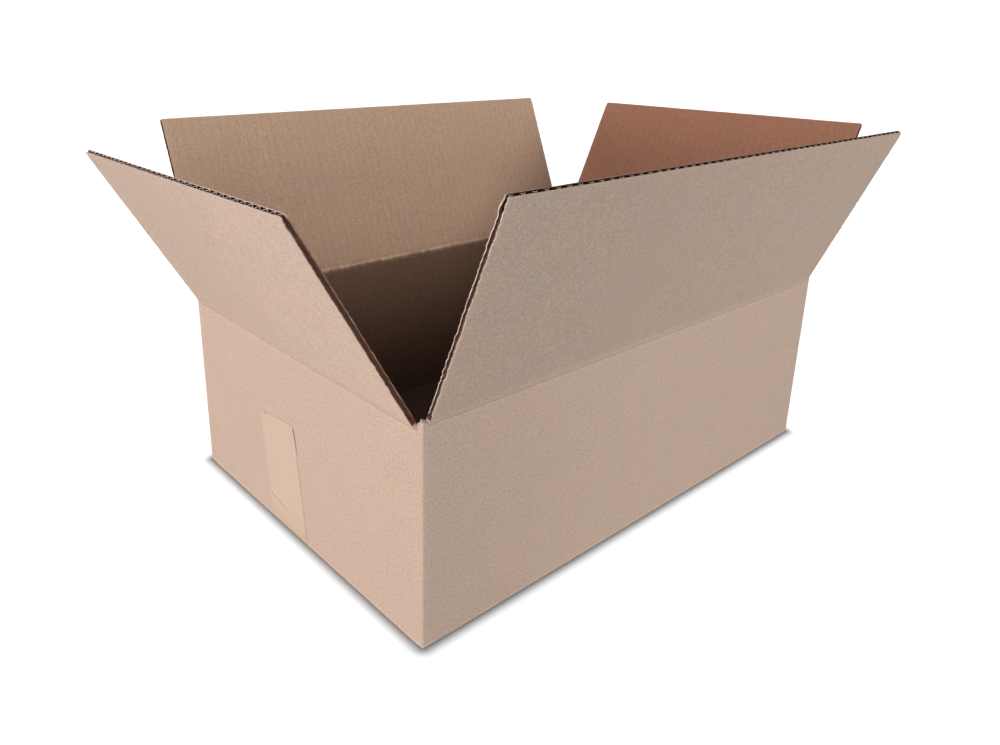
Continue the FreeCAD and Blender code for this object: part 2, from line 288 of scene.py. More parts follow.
class Shape:
    """Collects closed shells, and makes one mesh of them."""

    def __init__(self):
        self.points = []
        self.faces = []
        self.finishes = []
        self.sheets = []
        self.wear_and_shading_grids = []
        self.count = 0

    def add_shell(self, low, high, sheet_low, sheet_high, finishes, wear_and_shading_grids, wrap=False):
        """Join two grids of points into one closed shell: the low grid, the high grid, and
        a rim of faces between their borders. A wrapped shell has no rim where it meets
        itself. The shell is turned right side out by the sign of its volume."""
        rows, columns = low.shape[:2]
        index = np.arange(rows * columns).reshape(rows, columns)
        if wrap:
            index = np.concatenate([index, index[:1]])
        lower = np.stack([index[:-1, :-1], index[1:, :-1], index[1:, 1:], index[:-1, 1:]], -1)
        lower = lower.reshape(-1, 4)
        shift = rows * columns
        upper = lower[:, ::-1] + shift
        borders = [np.stack([index[1:, 0], index[:-1, 0]], -1)]
        borders.append(np.stack([index[:-1, -1], index[1:, -1]], -1))
        if not wrap:
            borders.append(np.stack([index[0, :-1], index[0, 1:]], -1))
            borders.append(np.stack([index[-1, 1:], index[-1, :-1]], -1))
        border = np.concatenate(borders)
        rim = np.concatenate([border, border[:, ::-1] + shift], -1)
        points = np.concatenate([low.reshape(-1, 3), high.reshape(-1, 3)])
        faces = np.concatenate([lower, upper, rim])
        a, b, c, d = (points[faces[:, corner]] for corner in range(4))
        volume = np.sum(np.cross(a, b) * c) + np.sum(np.cross(a, c) * d)
        if volume < 0:
            faces = faces[:, ::-1]
        counts = (len(lower), len(upper), len(rim))
        self.points.append(points)
        self.faces.append(faces + self.count)
        self.finishes.append(np.repeat(finishes, counts))
        sheet = np.concatenate([sheet_low.reshape(-1, 3), sheet_high.reshape(-1, 3)])
        self.sheets.append(sheet)
        self.wear_and_shading_grids += [np.broadcast_to(wear, low.shape[:2]).reshape(-1) for wear in wear_and_shading_grids]
        self.count += len(points)

    def make(self, name, materials):
        """Put the shells into one mesh, with each point's place on the flat sheet of board
        and its wear as attributes: a share that is positive where paper is paler,
        for worn and cut paper and for painted highlights, and negative where painted shade
        darkens it."""
        points = np.concatenate(self.points)
        faces = np.concatenate(self.faces)
        mesh = bpy.data.meshes.new(name)
        mesh.vertices.add(len(points))
        mesh.vertices.foreach_set("co", points.astype(np.float32).ravel())
        mesh.loops.add(faces.size)
        mesh.loops.foreach_set("vertex_index", faces.astype(np.int32).ravel())
        mesh.polygons.add(len(faces))
        starts = np.arange(0, faces.size, 4, dtype=np.int32)
        mesh.polygons.foreach_set("loop_start", starts)
        finishes = np.concatenate(self.finishes).astype(np.int32)
        mesh.polygons.foreach_set("material_index", finishes)
        for material in materials:
            mesh.materials.append(material)
        sheet = mesh.attributes.new("sheet", "FLOAT_VECTOR", "POINT")
        sheet.data.foreach_set("vector", np.concatenate(self.sheets).astype(np.float32).ravel())
        # wear: paler for worn and cut paper and painted highlights, darker for painted shade
        wear = mesh.attributes.new("wear", "FLOAT", "POINT")
        wear.data.foreach_set("value", np.concatenate(self.wear_and_shading_grids).astype(np.float32))
        mesh.update(calc_edges=True)
        mesh.shade_smooth()
        mesh.set_sharp_from_angle(angle=math.radians(35.0))
        if mesh.validate(clean_customdata=False):
            raise RuntimeError(f"{name} has faces that Blender can't use")
        piece = bpy.data.objects.new(name, mesh)
        bpy.context.scene.collection.objects.link(piece)
        return piece


def as_sheet(x, h, n):
    """Stack places on the flat sheet of board into vectors."""
    return np.stack(np.broadcast_arrays(x, h, n), -1)


def add_board(shape, sizes, x, h, place, faces, trim, sheet_start, samples=12, **edges):
    """Add a panel of board: an outer liner, an inner liner and a medium that runs between
    them as a wave along x, n = size * (2 * (0.5 + 0.5 * cos(x))**crests - 1). The faces
    function gives the heights of the outer and the inner face, and the trim function moves
    the cut edges. The wear share is positive where paper is pale, at the cuts,
    and negative in the mouths of the flutes, where painted shade darkens the hidden paper."""
    crests = edges.get("crests", 1.0)
    pale = edges.get("pale", 0.8)
    rim = edges.get("rim", 1.0)
    frayed = edges.get("frayed", lambda x, h: np.zeros_like(x))
    flat_x, flat_h = np.meshgrid(x, h, indexing="ij")
    outer, inner = faces(flat_x, flat_h)
    half = (x[-1] - x[0]) / 2
    centre = (x[-1] + x[0]) / 2
    start_x, start_h = sheet_start
    for number, (base, finishes) in enumerate((
        (outer, (OUTSIDE, CORE, CORE)),
        (inner - sizes.liner, (CORE, INSIDE, CORE)),
    )):
        edge_x, edge_h = trim(flat_x, flat_h, number)
        side_distance = half - np.abs(flat_x - centre)
        fray = sizes.fray * np.exp(-side_distance / (0.7 * MM))
        low_n = base - fray * number
        high_n = base + sizes.liner + fray * (1 - number)
        side_wear = pale * np.exp(-side_distance / (1.0 * MM))
        free_wear = np.exp((flat_h - h[-1]) / (0.4 * MM))
        # Painted shade: mouth_shade darkens the hidden paper within 15 mm of the free edge, where the
        # flutes lie in shade
        mouth_shade = 1.0 - ease(h[-1] - flat_h, 5 * MM, 15 * MM)
        hidden = np.maximum(side_wear, frayed(flat_x, flat_h))
        hidden = np.where(side_distance < 2 * MM, hidden, frayed(flat_x, flat_h) - mouth_shade)
        hidden = np.maximum(hidden, free_wear * (1.0 + rim) - 1.0)
        shown = np.maximum(side_wear, free_wear)
        wear_and_shading_grids = (shown, hidden) if number == 0 else (hidden, shown)
        sheets = [as_sheet(start_x + edge_x, start_h + edge_h, n) for n in (low_n, high_n)]
        shape.add_shell(
            place(edge_x, edge_h, low_n), place(edge_x, edge_h, high_n), *sheets, finishes, wear_and_shading_grids,
        )

    count = max(8, int((2 * (half - sizes.groove)) / sizes.pitch * samples))
    wave_x = np.linspace(x[0] + sizes.groove, x[-1] - sizes.groove, count)
    wave_h = np.unique(np.concatenate([h[:-8:8], h[-8::2], h[-1:] - 0.5 * MM, h[-1:]]))
    wave_x, wave_h = np.meshgrid(wave_x, wave_h, indexing="ij")
    outer, inner = faces(wave_x, wave_h)
    edge_x, edge_h = trim(wave_x, wave_h, 2)
    turn = 2 * math.pi / sizes.pitch
    size = (inner - outer - 2 * sizes.liner - sizes.medium) / 2
    middle_n = (outer + inner) / 2
    phase = turn * (start_x + wave_x)
    lift = np.clip(0.5 + 0.5 * np.cos(phase), 0.005, 1.0)
    wave = size * (2 * lift**crests - 1.0)
    slope = -size * turn * crests * lift ** (crests - 1.0) * np.sin(phase)
    slant = np.sqrt(1.0 + slope * slope)
    shift_x = -slope / slant * sizes.medium / 2
    shift_n = 1.0 / slant * sizes.medium / 2
    low = place(edge_x - shift_x, edge_h, middle_n + wave - shift_n)
    high = place(edge_x + shift_x, edge_h, middle_n + wave + shift_n)
    sheet = as_sheet(start_x + wave_x, start_h + wave_h, middle_n + wave)
    tick = np.exp((wave_h - h[-1]) / (0.6 * MM))
    if crests < 1.0:
        tick = tick * (1.0 - ease(lift, 0.15, 0.6))
    # Painted shade in the flutes' mouths, as for the liners
    mouth_shade = 1.0 - ease(h[-1] - wave_h, 5 * MM, 15 * MM)
    wear = np.maximum(tick * (1.0 + mouth_shade), frayed(wave_x, wave_h)) - mouth_shade
    shape.add_shell(low, high, sheet, sheet, (CORE, CORE, CORE), (wear, wear))


def flap_faces(sizes, side):
    """Heights of a top flap's faces: pressed together along the side cuts and at the free
    cut, which reaches further, and with a faint washboard that follows the flutes."""

    def faces(x, h):
        inset = side.half_span - np.abs(x)
        pinch = sizes.pinch * (1.0 - ease(inset, 0.0, 4 * MM))
        thin = (sizes.board - sizes.free_edge) * (1.0 - ease(side.length - h, 0.0, 6 * MM))
        wave = np.cos(2 * math.pi / sizes.pitch * (side.middle + x))
        outer = 0.5 * pinch + 0.3 * thin + 0.02 * MM * wave
        inner = sizes.board - 0.5 * pinch - 0.7 * thin + 0.035 * MM * wave
        return outer, inner

    return faces


def drawn_in(side, x, tip):
    """How far a side cut, and the paper beside it, lies in from its line at one end."""
    drawn = CORNER_MARKS[(side.name, tip)].get("drawn", 0.0) * MM
    return tip * drawn * (1.0 - ease(side.half_span - tip * x, 0.0, 40 * MM))


def flap_trim(sizes, side):
    """Move a flap's cut edges: the side cuts wander as torn paper does, the free edge is a
    straighter cut, and each corner has the mark that the table gives it."""
    seed = 10 * SIDES.index(side.name)
    edges = FLAP_EDGES[side.name]
    short = edges["short"] * MM

    def trim(x, h, layer):
        inset = side.half_span - np.abs(x)
        fall = side.length - h
        end = np.sign(x)
        beside = 1.0 - ease(inset, 0.0, 3 * MM)
        torn = wander(h + end, 1.0 * MM, 0.4 * MM, seed + layer)
        torn = torn + wander(h - end, 2.0 * MM, 0.4 * MM, seed + layer + 3)
        new_x = x + end * beside * (torn - 0.8 * MM) * edges["torn"]
        above = 1.0 - ease(fall, 0.0, 3 * MM)
        cut = wander(x, 3.3 * MM, 0.1 * MM, seed + layer + 6)
        cut = cut - (0.0, short, 0.5 * short + 0.2 * MM)[layer]
        below = np.interp(x, (-side.half_span, side.half_span), edges["below"]) * MM
        new_h = h + above * cut - below * ease(h, side.length / 2, side.length)
        for tip in (-1, 1):
            mark = CORNER_MARKS[(side.name, tip)]
            rounded = (*mark["rounded"], sum(mark["rounded"]) / 2)[layer] * MM
            over = np.clip((tip * x - side.half_span + rounded) / rounded, 0.0, 1.0)
            drop = rounded * (1.0 - np.sqrt(1.0 - over * over))
            new_h = new_h - drop * ease(h, side.length - 4 * rounded, side.length)
            away = np.hypot(side.half_span - tip * x, fall)
            share = (1.0 - ease(away, 0.0, 12 * MM)) ** 2
            push_x, push_h = mark.get("push", (0, 0))
            new_x = new_x + tip * push_x * MM * share
            new_h = new_h + push_h * MM * share
            new_x = new_x - drawn_in(side, x, tip)
        return new_x, new_h

    return trim


def corner_fray_and_shade(side):
    """A flap's hidden paper at its corners: positive shares make it ragged and paler, negative
    ones are painted shade on a bent corner; the shares fade over 25 mm.
    """

    def frayed(x, h):
        share = np.zeros_like(x)
        for tip in (-1, 1):
            away = np.hypot(side.half_span - tip * x, side.length - h)
            fade = 1.0 - ease(away, 12 * MM, 25 * MM)
            share = share + CORNER_MARKS[(side.name, tip)].get("frayed", 0.0) * fade
        return share

    return frayed


def side_columns(half, pitch, per_flute):
    """Places along a panel: close together at its two side cuts, and a few for each flute."""
    count = int(2 * (half - 5 * MM) / pitch * per_flute)
    return ladder(-half, (-half + 3 * MM, 5), (half - 5 * MM, count), (half, 8))


def make_flap(name, sizes, materials):
    """One top flap of corrugated board, from its crease to its free edge."""
    side = Side(name, sizes.board)
    x = side_columns(side.half_span, sizes.pitch, 1)
    count = int((side.length - 8 * MM) / (0.9 * MM))
    h = ladder(sizes.crease, (side.length - 4 * MM, count), (side.length, 9))
    shape = Shape()
    add_board(
        shape, sizes, x, h, side.place, flap_faces(sizes, side), flap_trim(sizes, side),
        (side.middle, 0.0), frayed=corner_fray_and_shade(side), **FLAP_EDGES[name],
    )
    piece = shape.make(f"flap_{name}", materials)
    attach(piece, side.body)
    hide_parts(f"top_flap_{name}")
    return piece


def make_crease(name, sizes, materials):
    """The board at one score. Its outer line runs up the wall, turns about the score with a
    narrow dent and goes on up the flap. Its inner line lies one thickness further in, and
    has a shallow valley with a low bead along its middle. It bends between the wall and
    the flap."""
    side = Side(name, sizes.board)
    x = side_columns(side.half_span, sizes.pitch, 2)
    u = ladder(-1.1, (-0.98, 2), (-0.4, 6), (0.4, 20), (0.98, 6), (1.1, 2))
    flat_x, flat_u = np.meshgrid(x, u, indexing="ij")
    soft = 0.16
    up_part = (flat_u + np.sqrt(flat_u**2 + soft**2)) / 2
    down_part = (-flat_u + np.sqrt(flat_u**2 + soft**2)) / 2
    line = sizes.crease * (up_part[..., None] * side.rise - down_part[..., None] * UP)
    share = ease(flat_u, -0.7, 0.7)[..., None]
    inward = -side.out * (1.0 - share) + side.through * share
    inward = inward / np.linalg.norm(inward, axis=-1, keepdims=True)
    seed = 70 + SIDES.index(name)
    dent = 0.45 * MM * np.exp(-((flat_u / 0.13) ** 2))
    dent = dent * (1.0 + wander(flat_x, 9 * MM, 0.25, seed))
    tail = 0.07 * MM * ease(np.abs(flat_u), 0.98, 1.05)
    skin = sizes.board - (sizes.board - sizes.score_skin) * np.exp(-((flat_u / 0.45) ** 2))
    bead = 1.0 + wander(flat_x, 6 * MM, 0.3, seed + 8)
    skin = skin + sizes.bead * bead * np.exp(-((flat_u / 0.2) ** 2))
    torn = wander(flat_u * sizes.crease, 1.2 * MM, 0.3 * MM, seed + 4)
    beside = 1.0 - ease(side.half_span - np.abs(flat_x), 0.0, 3 * MM)
    above = ease(flat_u, -0.1, 0.3)
    shift = (torn - 0.5 * MM) * above + 0.3 * MM * (1.0 - above)
    moved_x = flat_x + np.sign(flat_x) * beside * shift
    for tip in (-1, 1):
        moved_x = moved_x - drawn_in(side, flat_x, tip) * above
    tail = tail + 0.07 * MM * (1.0 - above) * (beside > 0.7)
    pinch = 0.5 * sizes.pinch * (1.0 - ease(side.half_span - np.abs(flat_x), 0.0, 4 * MM))
    # At the side cuts: paler paper at the post, partly torn paper and partly a painted highlight, and
    # painted shade in the open flutes above it
    joined = 1.0 - ease(flat_u, 0.4, 0.8)
    cut = (0.8 * joined - 0.5 * (1.0 - joined)) * (beside > 0.9)
    # Painted shade and highlight on the outer face: a dark line in the score and a paler strip below it
    score_shading = 0.4 * np.exp(-(((flat_u + 0.25) / 0.15) ** 2)) - 0.5 * np.exp(-((flat_u / 0.12) ** 2))
    base = side.score + moved_x[..., None] * side.along + line
    low = base + (dent + tail + pinch)[..., None] * inward
    high = base + (skin - tail - pinch)[..., None] * inward
    shape = Shape()
    # The inner face is paler along the bead: a painted highlight
    shape.add_shell(
        low, high,
        as_sheet(side.middle + flat_x, flat_u * sizes.crease, 0.0),
        as_sheet(side.middle + flat_x, flat_u * sizes.crease, sizes.board),
        (OUTSIDE, INSIDE, CORE),
        (np.where(beside > 0.9, cut, score_shading), cut + np.exp(-((flat_u / 0.3) ** 2))),
    )
    piece = shape.make(f"crease_{name}", materials)
    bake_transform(piece)
    return piece


def wall_columns(sizes):
    """Walk once round the carton. For each column: its side, its place along the side, its
    outward direction, its place on the flat sheet and whether it belongs to a corner."""
    rows = []
    turns = ladder(0.0, (1.0, 6))[1:-1]
    for number, name in enumerate(SIDES):
        side = Side(name, sizes.board)
        half = side.half_wall
        slot = half - sizes.slot
        hair = 0.03 * MM
        count = int(2 * (slot - 6 * MM) / sizes.pitch * 3)
        x = ladder(
            -half + sizes.fold, (-slot - hair, 2), (-slot + hair, 1), (-slot + 6 * MM, 4),
            (slot - 6 * MM, count), (slot - hair, 4), (slot + hair, 1), (half - sizes.fold, 2),
        )
        for place in x:
            rows.append((number, place, 0.0))
        for turn in turns:
            rows.append((number, half - sizes.fold, turn))
    return np.array(rows)


def add_walls(shape, sizes):
    """Add the four walls as one closed ring. Each column stands on the line round the carton:
    straight along the walls, an arc at the folds. The outer face rounds in under the bottom,
    the inner face lies one thickness further in, and the top follows the scores and posts."""
    sides = [Side(name, sizes.board) for name in SIDES]
    table = wall_columns(sizes)
    number = table[:, 0].astype(int)
    place = table[:, 1]
    turn = table[:, 2]
    out = np.array([side.out for side in sides])[number]
    along = np.array([side.along for side in sides])[number]
    half = np.array([side.half_wall for side in sides])[number]
    reach = np.array([side.reach for side in sides])[number]
    middle = np.array([side.middle for side in sides])[number]
    score = np.array([side.score[2] for side in sides])[number]
    angle = turn * math.pi / 2
    facing = out * np.cos(angle)[:, None] + along * np.sin(angle)[:, None]
    s = middle + place + 2 * sizes.fold * turn
    is_fold = turn > 0
    from_corner = np.minimum(half - place, half + place)
    is_post = (from_corner < sizes.slot) | is_fold

    # The corner's middle, from which both the outer and the inner arc are drawn
    arc_x = np.where(is_fold, half - sizes.fold, place)
    arc_y = reach - sizes.fold
    centre = arc_x[:, None] * along + arc_y[:, None] * out
    inner_limit = half - sizes.board - sizes.inner_fold
    inner_x = np.clip(arc_x, -inner_limit, inner_limit)
    inner_y = reach - sizes.board - sizes.inner_fold
    inner_centre = inner_x[:, None] * along + inner_y[:, None] * out

    post_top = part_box("carton_body")[1][2]
    ragged = wander(s, 1.3 * MM, 0.9 * MM, 5) + wander(s, 4 * MM, 0.6 * MM, 6)
    top = np.where(is_post, post_top - 1.4 * MM + ragged, score - sizes.crease)
    near_corner = np.where(is_fold, 0.0, np.minimum(half - place, half + place))
    bottom = sizes.corner_hole * (1.0 - ease(near_corner, 1.0 * MM, 7.0 * MM))

    steps = ladder(0.0, (0.2, 3), (1.5, 6), (9.0, 5), (30.0, 4), (128.0, 10)) * MM
    upper = ladder(0.0, (0.35, 4), (1.0, 11))[1:]
    z_low = bottom[:, None] + steps[None, :] * (1.0 - bottom[:, None] / steps[-1])
    z_high = steps[-1] + (top[:, None] - steps[-1]) * upper[None, :]
    z = np.concatenate([z_low, z_high], 1)

    under = np.clip(sizes.bottom_fold - z, 0.0, None)
    tuck = sizes.bottom_fold - np.sqrt(np.clip(sizes.bottom_fold**2 - under**2, 0.0, None))
    wave = 2 * math.pi / sizes.pitch * s[:, None]
    flat = np.where(is_fold, 0.0, ease(from_corner, 3 * MM, 12 * MM))[:, None]
    relief = 0.02 * MM * np.cos(wave) * flat
    joint_line = (number == SIDES.index("left")) & ~is_fold
    joint_gap = np.exp(-((place + half - 4.2 * MM) / (0.35 * MM)) ** 2) * joint_line
    facet = 0.4 * MM * np.clip(1.0 - (half - np.abs(place)) / sizes.facet, 0.0, 1.0)
    outer_radius = sizes.fold - tuck - relief - (0.7 * MM * joint_gap + facet)[:, None]
    low_xy = centre[:, None, :] + outer_radius[..., None] * facing[:, None, :]

    thin = 1.1 * MM * ease(z, top[:, None] - 5 * MM, top[:, None]) * is_post[:, None]
    inner_radius = sizes.inner_fold + thin - 0.035 * MM * np.cos(wave) * flat
    high_xy = inner_centre[:, None, :] + inner_radius[..., None] * facing[:, None, :]

    low = low_xy + z[..., None] * UP
    high = high_xy + z[..., None] * UP
    h = z - score[:, None]
    # Paler at the folds, near the corners and along the bottom edge: partly worn paper, partly a
    # painted highlight where the rounded edges catch the light
    wear = np.where(is_fold, 1.0, np.exp(-from_corner / (2.5 * MM)))[:, None]
    wear = 0.5 * wear + np.exp(-(((z - 1.2 * MM) / (0.9 * MM)) ** 2))
    wear = np.clip(wear, 0.0, 1.0)
    shape.add_shell(
        low, high, as_sheet(s[:, None], h, 0.0), as_sheet(s[:, None], h, sizes.board),
        (OUTSIDE, INSIDE, EDGE), (wear, 0.0), wrap=True,
    )


def plain_faces(sizes):
    """Heights of a bottom flap's faces, with a faint washboard."""

    def faces(x, h):
        wave = np.cos(2 * math.pi / sizes.pitch * x)
        return 0.01 * MM * wave, sizes.board + 0.03 * MM * wave

    return faces


def add_bottom(shape, sizes):
    """Add the four bottom flaps: the long pair meets at the seam, the end pair lies on it."""
    for name in SIDES:
        side = Side(name, sizes.board)
        is_long = name in ("front", "back")
        base = 0.02 * MM if is_long else sizes.board + 0.2 * MM
        half = side.half_wall - sizes.slot if is_long else side.half_wall - sizes.board - 0.2 * MM
        start = side.reach - sizes.board + 0.2 * MM
        end = 0.5 * MM if is_long else side.reach - side.length
        x = side_columns(half, sizes.pitch, 2)
        h = ladder(0.0, (start - end - 4 * MM, 8), (start - end, 4))

        def place(x, h, n, side=side, base=base, start=start):
            """A point of the bottom flap: h inward from the wall and n up from below."""
            return (
                x[..., None] * side.along + (start - h)[..., None] * side.out
                + (n + base)[..., None] * UP
            )

        def trim(x, h, layer, half=half, end=start - end):
            """Move the cut edges a little, as a blunt knife leaves them."""
            beside = 1.0 - ease(half - np.abs(x), 0.0, 3 * MM)
            above = 1.0 - ease(end - h, 0.0, 3 * MM)
            side_cut = wander(h, 3 * MM, 0.2 * MM, 90 + layer) - 0.2 * MM
            top_cut = wander(x, 3 * MM, 0.12 * MM, 95 + layer)
            return x + np.sign(x) * beside * side_cut, h + above * top_cut

        sheet_start = (side.middle, -side.score[2] - end - h[-1])
        add_board(shape, sizes, x, h, place, plain_faces(sizes), trim, sheet_start, samples=8)


def add_glue_tab(shape, sizes):
    """Add the maker's joint: a tapered tab of the back wall on the left wall's inner face."""
    side = Side("left", sizes.board)
    width, taper = sizes.tab, sizes.tab_taper
    low = 2 * sizes.board + 0.5 * MM
    high = side.score[2] - sizes.crease - sizes.tab_headroom
    x = ladder(0.0, (width - 3 * MM, 14), (width, 5))
    h = ladder(0.0, (1.0 * MM, 2), (high - low - 1.0 * MM, 20), (high - low, 2))

    def place(x, h, n):
        """A point of the tab: x from the back wall, h up and n in from the left wall."""
        start = side.half_wall - sizes.board + 0.1 * MM
        return (
            (start - x)[..., None] * -side.along + (side.reach - sizes.board - n)[..., None] * side.out
            + (low + h)[..., None] * UP
        )

    def trim(x, h, layer):
        """Taper the tab's two ends, and let the cuts wander a little."""
        share = h / (high - low)
        slope = taper * x / width
        cut = wander(h, 3 * MM, 0.15 * MM, 120 + layer) * ease(x, width - 3 * MM, width)
        return x + cut, slope + share * (high - low - 2 * slope)

    sheet_start = (side.middle + side.half_wall, low - side.score[2])
    add_board(shape, sizes, x, h, place, plain_faces(sizes), trim, sheet_start)


def make_walls(sizes, materials):
    """The folded carton without its top flaps."""
    shape = Shape()
    add_walls(shape, sizes)
    add_bottom(shape, sizes)
    add_glue_tab(shape, sizes)
    piece = shape.make("carton_board", materials)
    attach(piece, "carton")
    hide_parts("carton_body")
    return piece


def ridge(y, z, start, end, width, height):
    """A straight wrinkle from one place to another: a soft bump across its line, which fades
    at its two ends. Places are in mm."""
    start, end = np.array(start) * MM, np.array(end) * MM
    run = end - start
    length = np.hypot(*run)
    t = ((y - start[0]) * run[0] + (z - start[1]) * run[1]) / length**2
    across = ((y - start[0]) * run[1] - (z - start[1]) * run[0]) / length
    fade = ease(t, -0.15, 0.15) * (1.0 - ease(t, 0.85, 1.15))
    return height * MM * fade * np.exp(-((across / (width * MM)) ** 2))


def make_tape(sizes, materials):
    """The strip of tape: a path down the left wall, round the fold, along the underside and
    up the right wall, with the strip's width across it."""
    side = Side("left", sizes.board)
    wall = side.reach
    fold = sizes.bottom_fold
    gap = 0.03 * MM
    v = np.linspace(0.0, 1.0, 45)
    leg = ladder(0.0, (0.12, 18), (1.0, 66))
    far_y, far_z = (np.array(list(values)) * MM for values in zip(*TAPE_FAR_EDGE))
    near_y, near_z = (np.array(list(values)) * MM for values in zip(*TAPE_NEAR_EDGE))
    top = near_z[-1] * (1.0 - v) + far_z[-1] * v
    tear = wander(v, 0.05, 0.5 * MM, 31) - 2.5 * MM * np.exp(-(((v - 0.93) / 0.02) ** 2))
    tear = tear + wander(v, 0.021, 0.25 * MM, 32)
    top = top + tear
    z_leg = fold + (top - fold)[None, :] * (1.0 - leg)[:, None]
    near = np.interp(z_leg, near_z, near_y)
    far = np.interp(z_leg, far_z, far_y)
    y_leg = near * (1.0 - v)[None, :] + far * v[None, :]
    lift = sum(ridge(y_leg, z_leg, *wrinkle) for wrinkle in TAPE_WRINKLES)
    lift = np.clip(lift + 0.08 * MM, 0.0, None)
    # Painted light and shade along the tape's wrinkles, and a painted shadow under its lifted tip
    shade = sum(ridge(y_leg, z_leg, *stroke) for stroke in TAPE_PAINTED_SHADING) / MM
    leg_points = np.stack([-wall - gap - lift, y_leg, z_leg], -1)
    leg_out = np.broadcast_to(np.array([-1.0, 0.0, 0.0]), leg_points.shape)

    low_y = near_y[0] * (1.0 - v) + far_y[0] * v
    under_y = sizes.tape_middle + sizes.tape_width * (v - 0.5)
    bend = ladder(0.0, (1.0, 8))[1:] * math.pi / 2
    arc_x = -wall + fold - (fold + gap) * np.cos(bend)
    arc_z = fold - (fold + gap) * np.sin(bend)
    flat_x = np.linspace(-wall + fold, wall - fold, 44)[1:]
    turn_x = wall - fold + (fold + gap) * np.sin(bend)
    turn_z = fold - (fold + gap) * np.cos(bend)
    rise_z = np.linspace(fold, sizes.tape_rise, 30)[1:]
    path_x = np.concatenate([arc_x, flat_x, turn_x, np.full(len(rise_z), wall + gap)])
    path_z = np.concatenate([arc_z, np.full(len(flat_x), -gap), turn_z, rise_z])
    out_x = np.concatenate([-np.cos(bend), 0 * flat_x, np.sin(bend), 0 * rise_z + 1.0])
    out_z = np.concatenate([-np.sin(bend), 0 * flat_x - 1.0, -np.cos(bend), 0 * rise_z])
    share = ease(path_x, -wall, -wall + 60 * MM)[:, None]
    path_y = low_y[None, :] * (1.0 - share) + under_y[None, :] * share
    end_tear = wander(v, 0.045, 0.6 * MM, 33)[None, :]
    climb = ease(path_z, 20 * MM, sizes.tape_rise)[:, None] * (path_x > wall)[:, None]
    rest_z = path_z[:, None] + climb * end_tear
    rest = np.stack(np.broadcast_arrays(path_x[:, None], path_y, rest_z), -1)
    rest_out = np.stack(np.broadcast_arrays(out_x[:, None], 0 * path_y, out_z[:, None]), -1)

    inner = np.concatenate([leg_points, rest])
    outward = np.concatenate([leg_out, rest_out])
    outer = inner + outward * sizes.film
    along = np.concatenate([z_leg, -np.cumsum(np.ones(len(rest)))[:, None] * 5 * MM + 0 * path_y])
    sheet = as_sheet(inner[..., 1], along, 0.0)
    tape_shading = np.concatenate([shade, 0 * path_y])
    shape = Shape()
    tape_shading = np.clip(tape_shading, -1.0, 1.0)
    shape.add_shell(inner, outer, sheet, sheet, (0, 0, 0), (tape_shading, tape_shading))
    piece = shape.make("tape_strip", materials)
    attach(piece, "carton")
    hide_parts("bottom_tape")
    return piece


class Socket:
    """One output of a node. Arithmetic on it adds the Math or Vector Math node."""

    def __init__(self, graph, output):
        self.graph = graph
        self.output = output

    def _join(self, operation, first, second):
        is_vector = any(
            isinstance(value, Socket) and value.output.type in ("VECTOR", "RGBA")
            for value in (first, second)
        )
        kind = "ShaderNodeVectorMath" if is_vector else "ShaderNodeMath"
        return self.graph.add(kind, {"operation": operation}, {0: first, 1: second})

    def __add__(self, other):
        return self._join("ADD", self, other)

    def __radd__(self, other):
        return self._join("ADD", other, self)

    def __sub__(self, other):
        return self._join("SUBTRACT", self, other)

    def __rsub__(self, other):
        return self._join("SUBTRACT", other, self)

    def __mul__(self, other):
        return self._join("MULTIPLY", self, other)

    def __rmul__(self, other):
        return self._join("MULTIPLY", other, self)

    def __truediv__(self, other):
        return self._join("DIVIDE", self, other)

